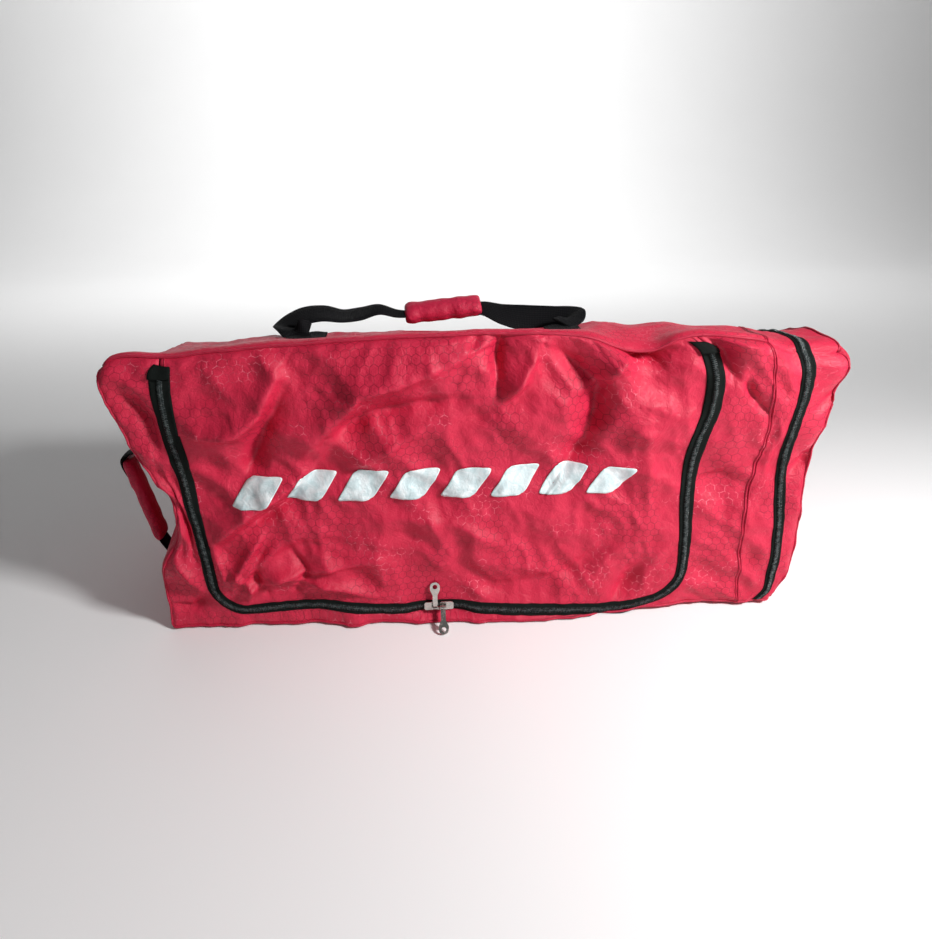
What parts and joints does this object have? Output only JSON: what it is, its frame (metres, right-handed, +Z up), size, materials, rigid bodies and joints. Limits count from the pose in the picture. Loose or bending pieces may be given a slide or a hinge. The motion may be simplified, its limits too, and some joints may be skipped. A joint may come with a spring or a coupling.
{
  "type": "hockey equipment bag",
  "caption": "Long soft equipment bag with a U-shaped zipped front flap, a zipped end pocket, two webbing haul handles with a padded grip, and an end handle.",
  "frame": {"origin": "middle of the bottom panel's underside, on the surface that the bag stands on", "axes": "+X along the bag's length towards the end pocket, -Y the front with the U-shaped zip, +Z up"},
  "size_m": [0.9605, 0.4112, 0.4327],
  "materials": {
    "red_fabric": "coated polyester with a honeycomb print, semi-gloss",
    "red_grip": "padded polyester with a honeycomb print",
    "red_welt": "folded polyester over cord",
    "black_zip_tape": "woven polyester tape",
    "black_zip_coil": "moulded nylon coil",
    "black_webbing": "woven polypropylene webbing",
    "grip_foam": "closed-cell foam",
    "bright_metal": "nickel plated, satin"
  },
  "bodies": {
    "bag": {"bottom_panel": "red_fabric", "left_end_panel": "red_fabric", "back_panel": "red_fabric", "top_panel": "red_fabric", "divider_panel": "red_fabric", "pocket_gusset": "red_fabric", "front_surround": "red_fabric", "main_zip_tape_outer": "black_zip_tape", "main_zip_coil_outer": "black_zip_coil", "main_zip_stop_left": "black_zip_coil", "main_zip_stop_right": "black_zip_coil", "end_zip_tape_body": "black_zip_tape", "end_zip_coil_body": "black_zip_coil", "welt_left_end": "red_welt", "piping_top_front": "red_welt", "piping_top_back": "red_welt", "piping_bottom_front": "red_welt", "piping_bottom_back": "red_welt", "haul_patch_front_left": "black_webbing", "haul_patch_front_right": "black_webbing", "haul_patch_back_left": "black_webbing", "haul_patch_back_right": "black_webbing", "end_patch_top": "black_webbing", "end_patch_bottom": "black_webbing"},
    "front_flap": {"front_flap": "red_fabric", "main_zip_tape_inner": "black_zip_tape", "main_zip_coil_inner": "black_zip_coil"},
    "main_slider_left": {"main_zip_slider_left": "bright_metal"},
    "main_slider_right": {"main_zip_slider_right": "bright_metal"},
    "main_pull_left": {"main_zip_pull_left": "bright_metal"},
    "main_pull_right": {"main_zip_pull_right": "bright_metal"},
    "pocket_cap": {"pocket_cap": "red_fabric", "end_zip_tape_cap": "black_zip_tape", "end_zip_coil_cap": "black_zip_coil", "welt_pocket_cap": "red_welt"},
    "end_slider": {"end_zip_slider": "bright_metal"},
    "end_pull": {"end_zip_pull": "bright_metal"},
    "front_haul_handle": {"haul_webbing_front": "black_webbing", "haul_grip_cover": "red_grip", "haul_grip_foam": "grip_foam"},
    "back_haul_handle": {"haul_webbing_back": "black_webbing"},
    "end_handle": {"end_handle_webbing": "black_webbing", "end_grip_cover": "red_grip", "end_grip_foam": "grip_foam"}
  },
  "joints": [
    {"name": "front_flap_hinge", "type": "hinge", "parent": "bag", "child": "front_flap", "pos_m": [-0.045, -0.178, 0.389], "axis": [-1, 0, 0], "range_deg": [0, 120]},
    {"name": "main_slider_left_slide", "type": "slide", "parent": "front_flap", "child": "main_slider_left", "axis": [-1, 0, 0], "range_m": [0, 0.24]},
    {"name": "main_slider_right_slide", "type": "slide", "parent": "front_flap", "child": "main_slider_right", "axis": [1, 0, 0], "range_m": [0, 0.26]},
    {"name": "main_pull_left_flip", "type": "hinge", "parent": "main_slider_left", "child": "main_pull_left", "pos_m": [-0.0665, -0.1872, 0.024], "axis": [1, 0, 0], "range_deg": [0, 105]},
    {"name": "main_pull_right_flip", "type": "hinge", "parent": "main_slider_right", "child": "main_pull_right", "pos_m": [-0.0555, -0.1872, 0.024], "axis": [-1, 0, 0], "range_deg": [0, 120]},
    {"name": "pocket_cap_hinge", "type": "hinge", "parent": "bag", "child": "pocket_cap", "pos_m": [0.457, 0, 0], "axis": [0, 1, 0], "range_deg": [0, 90]},
    {"name": "end_slider_slide", "type": "slide", "parent": "pocket_cap", "child": "end_slider", "axis": [0, 0, 1], "range_m": [0, 0.2]},
    {"name": "end_pull_flip", "type": "hinge", "parent": "end_slider", "child": "end_pull", "pos_m": [0.42, 0.1872, 0.06], "axis": [1, 0, 0], "range_deg": [0, 150]},
    {"name": "front_haul_handle_lift", "type": "hinge", "parent": "bag", "child": "front_haul_handle", "pos_m": [-0.0545, -0.095, 0.40372], "axis": [1, 0, 0], "range_deg": [0, 100]},
    {"name": "back_haul_handle_lift", "type": "hinge", "parent": "bag", "child": "back_haul_handle", "pos_m": [-0.0545, 0.095, 0.35095], "axis": [1, 0, 0], "range_deg": [0, 125]},
    {"name": "end_handle_swing", "type": "hinge", "parent": "bag", "child": "end_handle", "pos_m": [-0.459, -0.095, 0.167], "axis": [0, 0, 1], "range_deg": [-30, 30]}
  ]
}
